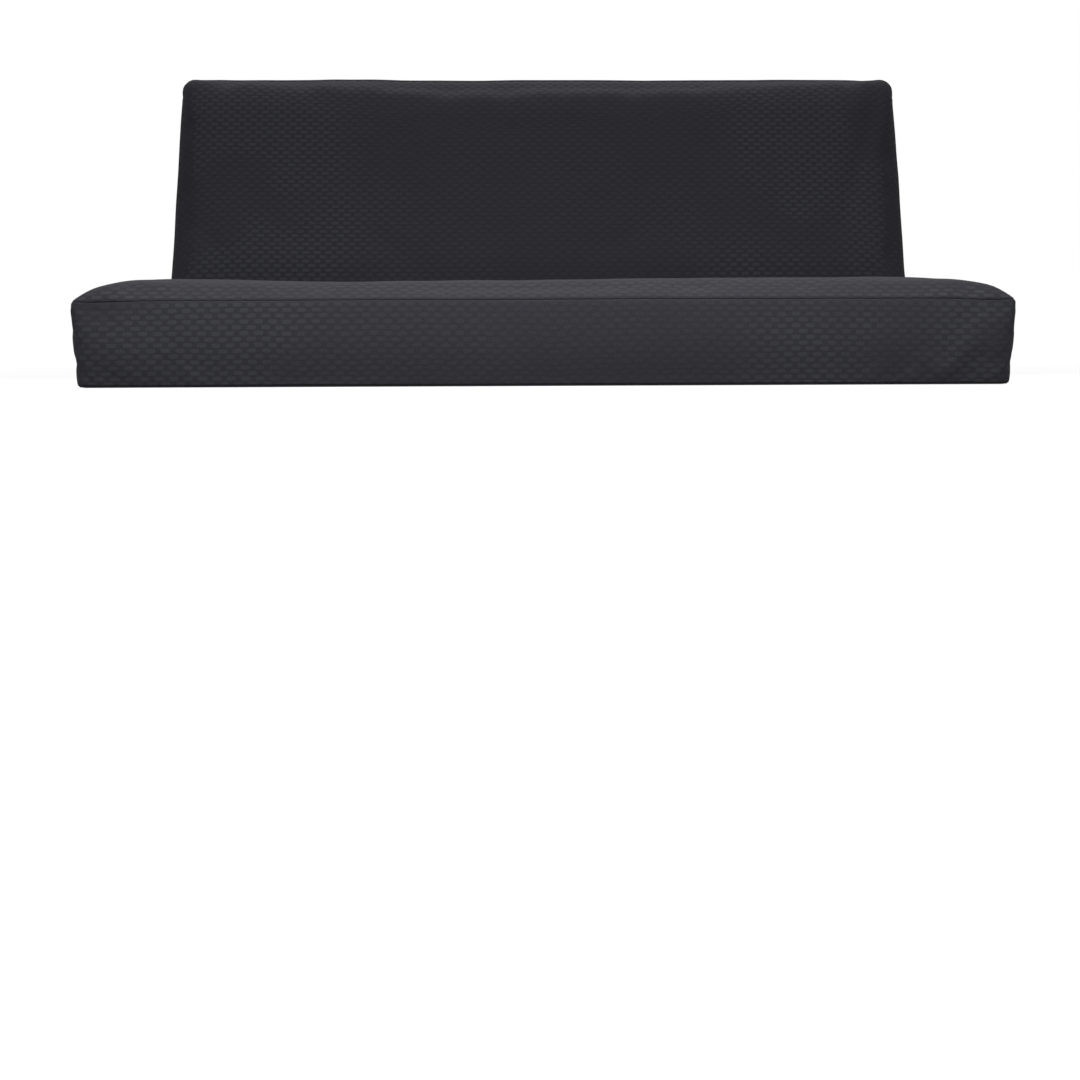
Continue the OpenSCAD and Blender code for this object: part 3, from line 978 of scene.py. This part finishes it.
def softMaterial(name, dark, light, fine, slow, rough, bump, depth, weave=0.0, metallic=0.0):
    material, tree, shader = newMaterial(name)
    coordinates = tree.nodes.new("ShaderNodeTexCoord")
    fluff = placeGroup(tree, fibre, coordinates.outputs["Object"], Fine=fine, Slow=slow)
    spread = mathNode(tree, "MULTIPLY_ADD", fluff.outputs["Fine"], softLook["fineShare"],
                      mathNode(tree, "MULTIPLY", fluff.outputs["Slow"], 1 - softLook["fineShare"]))
    height = fluff.outputs["Fine"]
    if weave:
        cloth = placeGroup(tree, twill, coordinates.outputs["Object"], Count=weave)
        spread = mathNode(tree, "MULTIPLY_ADD", cloth.outputs["Yarn"], softLook["weaveShare"],
                          mathNode(tree, "MULTIPLY", spread, 1 - softLook["weaveShare"]))
        height = mathNode(tree, "MULTIPLY", height, softLook["fluffRelief"])
        height = mathNode(tree, "ADD", cloth.outputs["Yarn"], height)
    base = colourMix(tree, rangeNode(tree, spread, *softLook["colourRange"]), dark, light)
    tree.links.new(base, shader.inputs["Base Color"])
    roughness = rangeNode(tree, fluff.outputs["Slow"], *softLook["roughRange"],
                          rough - softLook["roughSpread"], rough + softLook["roughSpread"])
    tree.links.new(roughness, shader.inputs["Roughness"])
    addBump(tree, shader, height, bump, depth)
    shader.inputs["Metallic"].default_value = metallic
    shader.inputs["Specular IOR Level"].default_value = softLook["specular"]
    return material


# Each finish lies between a dark and a light colour; fine, slow and weave are counts of its grain.
finishLooks = {
    "ticking": {
        "name": "cotton ticking", "dark": (0.58, 0.54, 0.45), "light": (0.76, 0.73, 0.64),
        "fine": 500.0, "slow": 9.0, "rough": 0.86, "bump": 0.4, "depth": 0.0006, "weave": 2600.0,
    },
    "batting": {
        "name": "cotton batting", "dark": (0.66, 0.62, 0.53), "light": (0.86, 0.84, 0.78),
        "fine": 150.0, "slow": 14.0, "rough": 0.93, "bump": 0.8, "depth": 0.004,
    },
    "foam": {
        "name": "open cell foam", "dark": (0.62, 0.52, 0.24), "light": (0.84, 0.76, 0.47),
        "fine": 700.0, "slow": 10.0, "rough": 0.88, "bump": 0.7, "depth": 0.0012,
    },
    "twine": {
        "name": "tufting twine", "dark": (0.34, 0.26, 0.16), "light": (0.62, 0.52, 0.37),
        "fine": 1500.0, "slow": 40.0, "rough": 0.85, "bump": 0.6, "depth": 0.0006, "weave": 3800.0,
    },
    "felt": {
        "name": "wool felt", "dark": (0.50, 0.48, 0.44), "light": (0.74, 0.72, 0.68),
        "fine": 900.0, "slow": 60.0, "rough": 0.95, "bump": 0.6, "depth": 0.0008,
    },
    "zip_tape": {
        "name": "zip tape", "dark": (0.010, 0.010, 0.012), "light": (0.026, 0.026, 0.030),
        "fine": 900.0, "slow": 30.0, "rough": 0.8, "bump": 0.5, "depth": 0.0004, "weave": 5200.0,
    },
    "zip_coil": {
        "name": "nylon zip coil", "dark": (0.010, 0.010, 0.012), "light": (0.022, 0.022, 0.025),
        "fine": 700.0, "slow": 60.0, "rough": 0.42, "bump": 0.2, "depth": 0.0002,
    },
    "zip_metal": {
        "name": "painted zip metal", "dark": (0.16, 0.16, 0.17), "light": (0.30, 0.30, 0.31),
        "fine": 900.0, "slow": 90.0, "rough": 0.34, "bump": 0.15, "depth": 0.0002, "metallic": 1.0,
    },
    "label": {
        "name": "woven label", "dark": (0.74, 0.74, 0.70), "light": (0.88, 0.88, 0.85),
        "fine": 800.0, "slow": 30.0, "rough": 0.75, "bump": 0.3, "depth": 0.0003, "weave": 4200.0,
    },
    "cover_fabric": {
        "name": "cover yarn", "dark": (0.018, 0.018, 0.021), "light": (0.036, 0.036, 0.040),
        "fine": 900.0, "slow": 40.0, "rough": 0.8, "bump": 0.4, "depth": 0.0003,
    },
}
finishes = {key: softMaterial(**look) for key, look in finishLooks.items()}
nodeSlots = {
    "ticking": ("ticking_top", "ticking_bottom", "ticking_border", "ticking_fold"),
    "batting": ("top_batting", "middle_batting", "bottom_batting", "fold_filling"),
    "foam": ("upper_foam", "lower_foam"),
    "twine": ("tuft_ties",),
    "felt": ("tuft_washers",),
    "zip_tape": ("zip_tapes",),
    "zip_coil": ("zip_coils",),
    "zip_metal": ("zip_stops", "zip_slider", "zip_pull"),
    "label": ("law_label", "care_label"),
    "cover_fabric": ("cover_", "front_boxing", "top_boxing", "zip_strip",
                     "seat_boxing", "back_boxing", "fold_boxing"),
}
for nodeName, node in frame["nodes"].items():
    for slotName, starts in nodeSlots.items():
        if nodeName.startswith(starts):
            node.data.materials.clear()
            node.data.materials.append(finishes[slotName])
teeth.data.materials.append(finishes["zip_coil"])
stitching.data.materials.append(finishes["cover_fabric"])

print("stage")
studio = {
    "floorGrey": 0.32,
    "floorRough": 0.9,
    "floorGlow": (1.2, 3.5, 0.78, 0.94),  # near and far from the middle, and the glow there
    "touch": 0.006,
    "ambient": 0.27,
}
bpy.ops.mesh.primitive_plane_add(size=40, location=(0, 0, -0.0005))
floor = bpy.context.object
floor.name = "studio_floor"
floorMaterial, floorTree, floorShader = newMaterial("pale floor")
floorShader.inputs["Base Color"].default_value = (*[studio["floorGrey"]] * 3, 1)
floorShader.inputs["Roughness"].default_value = studio["floorRough"]
floorSeen = floorTree.nodes.new("ShaderNodeLightPath")
floorPlace = floorTree.nodes.new("ShaderNodeTexCoord")
floorFar = floorTree.nodes.new("ShaderNodeVectorMath")
floorFar.operation = "LENGTH"
floorTree.links.new(floorPlace.outputs["Object"], floorFar.inputs[0])
floorLevel = rangeNode(floorTree, floorFar.outputs["Value"], *studio["floorGlow"])
floorGlow = mathNode(floorTree, "MULTIPLY", floorSeen.outputs["Is Camera Ray"], floorLevel)
floorTree.links.new(floorGlow, floorShader.inputs["Emission Strength"])
floorShader.inputs["Emission Color"].default_value = (1, 1, 1, 1)
# seen from below, the floor lets the view through, and lets light onto what stands on it
floorSide = floorTree.nodes.new("ShaderNodeNewGeometry")
floorTouch = mathNode(floorTree, "LESS_THAN", floorSeen.outputs["Ray Length"], studio["touch"])
floorTouch = mathNode(floorTree, "MULTIPLY", floorTouch, floorSeen.outputs["Is Diffuse Ray"])
floorOpen = mathNode(floorTree, "MAXIMUM", floorTouch, floorSide.outputs["Backfacing"])
floorTree.links.new(mathNode(floorTree, "SUBTRACT", 1.0, floorOpen), floorShader.inputs["Alpha"])
floor.data.materials.append(floorMaterial)

world = bpy.data.worlds.new("studio")
bpy.context.scene.world = world
world.use_nodes = True
paper = world.node_tree.nodes["Background"]
paper.inputs["Color"].default_value = (1, 1, 1, 1)
seen = world.node_tree.nodes.new("ShaderNodeLightPath")
strength = rangeNode(world.node_tree, seen.outputs["Is Camera Ray"], 0.0, 1.0, studio["ambient"], 1.0)
world.node_tree.links.new(strength, paper.inputs["Strength"])
bpy.context.scene.view_settings.view_transform = "Standard"


def areaLight(name, place, aim, size, power, spread=180):
    light = bpy.data.lights.new(name, "AREA")
    light.shape = "RECTANGLE"
    light.size, light.size_y = size
    light.energy = power
    light.spread = math.radians(spread)
    lamp = bpy.data.objects.new(name, light)
    bpy.context.scene.collection.objects.link(lamp)
    lamp.location = place
    lamp.rotation_euler = (Vector(aim) - Vector(place)).to_track_quat("-Z", "Y").to_euler()


areaLight("rim softbox", (0, 0.5, 2.1), (0, -0.2, 0.2), (2.6, 0.6), 22)
areaLight("gridded softbox", (0, -0.80, 1.9), (0, -0.62, 0.2), (2.6, 0.5), 7.3, spread=60)
areaLight("front softbox", (-0.1, -2.9, 0.75), (0, -0.3, 0.2), (1.3, 0.8), 42)

print("camera")
view = {
    "focal": 1180 / 1080 * 36,
    "place": (-0.055, -2.888, 0.095),
    "yaw": 0.98,
    "pitch": 3.12,
    "roll": 0.21,
    "shift": -0.126,
}
cameraData = bpy.data.cameras.new("camera")
camera = bpy.data.objects.new("camera", cameraData)
bpy.context.scene.collection.objects.link(camera)
cameraData.sensor_width = 36
cameraData.lens = view["focal"]
cameraData.shift_y = view["shift"]
camera.location = view["place"]
turned = Matrix.Rotation(-math.radians(view["yaw"]), 3, "Z")
tilted = Matrix.Rotation(math.radians(90 - view["pitch"]), 3, "X")
rolled = Matrix.Rotation(math.radians(-view["roll"]), 3, "Z")
camera.rotation_euler = (turned @ tilted @ rolled).to_euler()
bpy.context.scene.camera = camera
